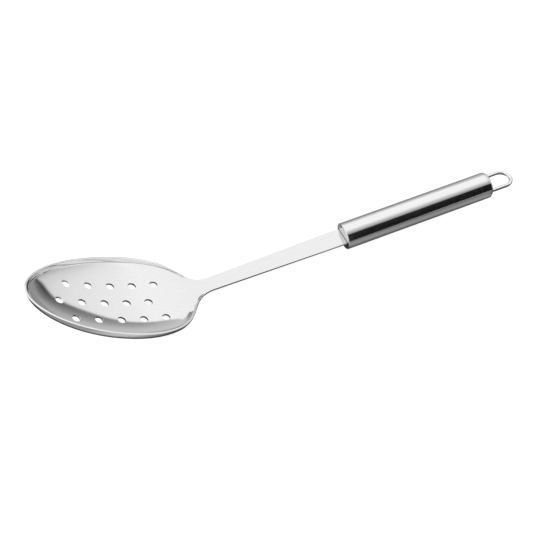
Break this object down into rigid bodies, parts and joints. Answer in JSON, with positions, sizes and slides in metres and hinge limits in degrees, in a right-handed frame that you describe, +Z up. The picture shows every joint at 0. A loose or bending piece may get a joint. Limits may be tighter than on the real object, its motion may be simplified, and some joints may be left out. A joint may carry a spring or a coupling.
{
  "type": "perforated serving spoon",
  "caption": "Serving spoon with a shallow oval perforated bowl, a flat tapering shank, a round tube handle with end caps and a wire hanging loop.",
  "frame": {"origin": "on the surface the spoon lies on, below the middle of its overall length and width", "axes": "+X from the bowl's tip to the hanging loop, +Y across the spoon, +Z up out of the bowl's open side"},
  "size_m": [0.323, 0.0654, 0.0518],
  "materials": {
    "blade_steel": "satin",
    "handle_steel": "satin",
    "cap_steel": "satin",
    "wire_steel": "polished"
  },
  "bodies": {
    "root": {"blade": "blade_steel", "handle_tube": "handle_steel", "front_cap": "cap_steel", "rear_cap": "cap_steel", "hanging_loop": "wire_steel"}
  },
  "joints": []
}
